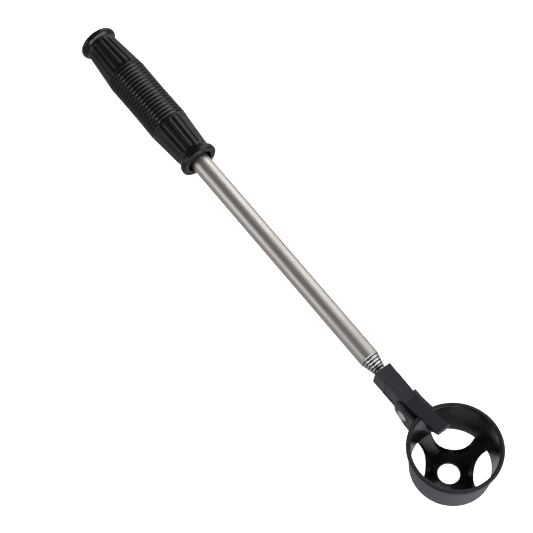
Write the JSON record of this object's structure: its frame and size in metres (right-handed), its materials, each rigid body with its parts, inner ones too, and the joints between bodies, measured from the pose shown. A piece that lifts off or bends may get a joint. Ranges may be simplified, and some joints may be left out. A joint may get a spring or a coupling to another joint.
{
  "type": "golf ball retriever",
  "caption": "Telescopic golf ball retriever, collapsed: ribbed rubber grip, nested steel tubes, and a spring-closed slotted cup on a pivot under a fixed tongue.",
  "frame": {"origin": "middle of the butt face of the grip, on the shaft's axis", "axes": "+X along the shaft from the butt to the cup, +Z the side that the cup opens to, +Y along the cup's pivot"},
  "size_m": [0.3772, 0.055, 0.0446],
  "materials": {
    "grip_rubber": "moulded, slightly glossy",
    "plug_plastic": "plain moulded",
    "tube_steel": "finely polished along the length",
    "arm_plastic": "satin moulded",
    "cup_plastic": "moulded, glossy inside and satin outside",
    "rivet_steel": "polished",
    "spring_steel": "drawn wire",
    "shim_bronze": "rolled sheet"
  },
  "bodies": {
    "grip": {"grip_sleeve": "grip_rubber", "rear_plug": "plug_plastic", "tube_1": "tube_steel"},
    "section_2": {"tube_2": "tube_steel", "friction_spring_2": "shim_bronze"},
    "section_3": {"tube_3": "tube_steel", "friction_spring_3": "shim_bronze"},
    "section_4": {"tube_4": "tube_steel", "friction_spring_4": "shim_bronze"},
    "section_5": {"tube_5": "tube_steel", "friction_spring_5": "shim_bronze"},
    "section_6": {"tube_6": "tube_steel", "friction_spring_6": "shim_bronze"},
    "section_7": {"tube_7": "tube_steel", "friction_spring_7": "shim_bronze"},
    "slider_8": {"friction_spring_8": "shim_bronze"},
    "head": {"tube_8": "tube_steel", "socket_arm": "arm_plastic", "tube_rivet": "rivet_steel", "pivot_rivet": "rivet_steel", "torsion_spring": "spring_steel"},
    "cup": {"cup": "cup_plastic"}
  },
  "joints": [
    {"name": "slide_2", "type": "slide", "parent": "grip", "child": "section_2", "axis": [1, 0, 0], "range_m": [0, 0.239]},
    {"name": "slide_3", "type": "slide", "parent": "section_2", "child": "section_3", "axis": [1, 0, 0], "range_m": [0, 0.24095]},
    {"name": "slide_4", "type": "slide", "parent": "section_3", "child": "section_4", "axis": [1, 0, 0], "range_m": [0, 0.2429]},
    {"name": "slide_5", "type": "slide", "parent": "section_4", "child": "section_5", "axis": [1, 0, 0], "range_m": [0, 0.24485]},
    {"name": "slide_6", "type": "slide", "parent": "section_5", "child": "section_6", "axis": [1, 0, 0], "range_m": [0, 0.2468]},
    {"name": "slide_7", "type": "slide", "parent": "section_6", "child": "section_7", "axis": [1, 0, 0], "range_m": [0, 0.24875]},
    {"name": "slide_8", "type": "slide", "parent": "section_7", "child": "slider_8", "axis": [1, 0, 0], "range_m": [0, 0.2507]},
    {"name": "head_turn", "type": "hinge", "parent": "slider_8", "child": "head", "pos_m": [0, 0, 0], "axis": [1, 0, 0], "continuous": true},
    {"name": "cup_swing", "type": "hinge", "parent": "head", "child": "cup", "pos_m": [0.3146, 0, 0], "axis": [0, 1, 0], "range_deg": [0, 54], "stiffness_Nm_per_rad": 0.05, "springref_deg": -34.38, "deforming": ["torsion_spring"]}
  ]
}
